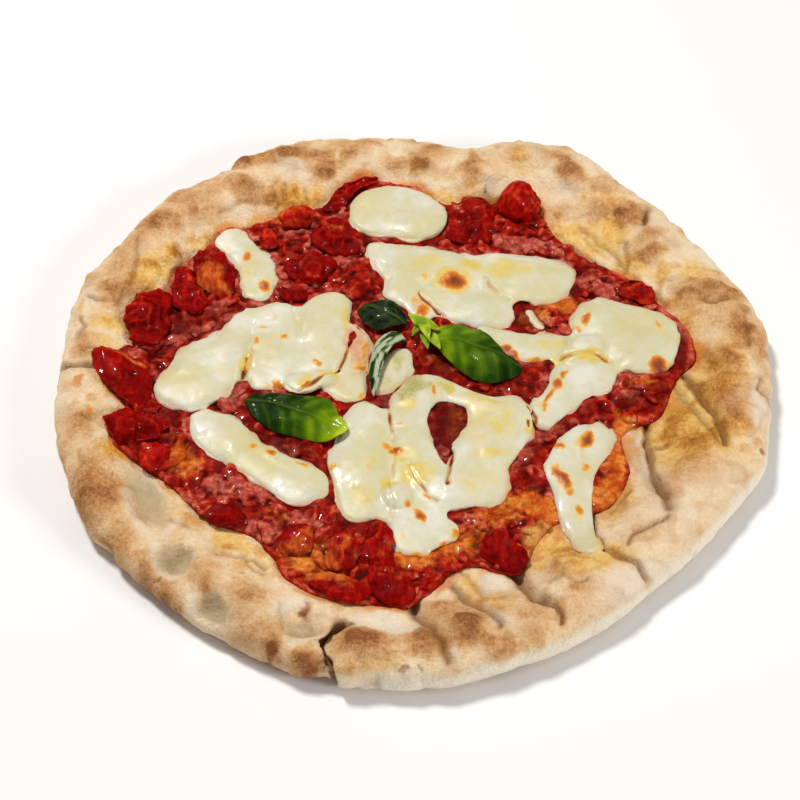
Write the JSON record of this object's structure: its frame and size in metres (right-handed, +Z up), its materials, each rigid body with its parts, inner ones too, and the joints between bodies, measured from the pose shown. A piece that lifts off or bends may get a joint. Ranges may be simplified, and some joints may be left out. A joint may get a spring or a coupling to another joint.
{
  "type": "margherita pizza",
  "caption": "Whole uncut margherita pizza with a puffed hand-stretched edge, tomato sauce, melted mozzarella, tomato chunks and basil leaves.",
  "frame": {"origin": "centre of the flat base, on the surface that the pizza lies on", "axes": "+Z up out of the topping, +X to the right and -Y to the front, where the edge has its split"},
  "size_m": [0.3013, 0.2944, 0.0253],
  "materials": {
    "baked_dough": "matt baked wheat crust, golden with toasted brown patches and a pale floured side",
    "tomato_sauce": "wet crushed tomato sauce, deep red with oily glints",
    "melted_mozzarella": "melted cream-white cheese, softly glossy, with oil stains and browned spots",
    "tomato_flesh": "wet bright red cooked tomato",
    "basil_leaf": "fresh green leaf, waxy, with sunk veins"
  },
  "bodies": {
    "root": {"crust": "baked_dough", "sauce": "tomato_sauce", "mozzarella_back": "melted_mozzarella", "mozzarella_long": "melted_mozzarella", "mozzarella_fold": "melted_mozzarella", "mozzarella_right": "melted_mozzarella", "mozzarella_band": "melted_mozzarella", "mozzarella_middle_right": "melted_mozzarella", "mozzarella_tongue": "melted_mozzarella", "mozzarella_left": "melted_mozzarella", "mozzarella_left_middle": "melted_mozzarella", "mozzarella_middle": "melted_mozzarella", "mozzarella_diagonal": "melted_mozzarella", "mozzarella_back_left": "melted_mozzarella", "mozzarella_pink": "melted_mozzarella", "mozzarella_upright": "melted_mozzarella", "mozzarella_pool": "melted_mozzarella", "mozzarella_bottom": "melted_mozzarella", "mozzarella_under_leaf": "melted_mozzarella", "mozzarella_shred": "melted_mozzarella", "tomato_wedge": "tomato_flesh", "tomato_left_dark": "tomato_flesh", "tomato_half": "tomato_flesh", "tomato_left_mass": "tomato_flesh", "tomato_wrinkled": "tomato_flesh", "tomato_cube": "tomato_flesh", "tomato_back_orange": "tomato_flesh", "tomato_back_small": "tomato_flesh", "tomato_back_big": "tomato_flesh", "tomato_back_round": "tomato_flesh", "tomato_skin": "tomato_flesh", "tomato_back_bank": "tomato_flesh", "tomato_standing": "tomato_flesh", "tomato_back_right": "tomato_flesh", "tomato_front_right": "tomato_flesh", "tomato_bottom_long": "tomato_flesh", "tomato_bottom_left": "tomato_flesh", "tomato_front_left": "tomato_flesh", "tomato_right_bank": "tomato_flesh", "tomato_bottom_mass": "tomato_flesh", "tomato_bottom_red": "tomato_flesh", "basil_front": "basil_leaf", "basil_back": "basil_leaf", "basil_curled": "basil_leaf", "basil_right": "basil_leaf", "basil_bud": "basil_leaf"}
  },
  "joints": []
}
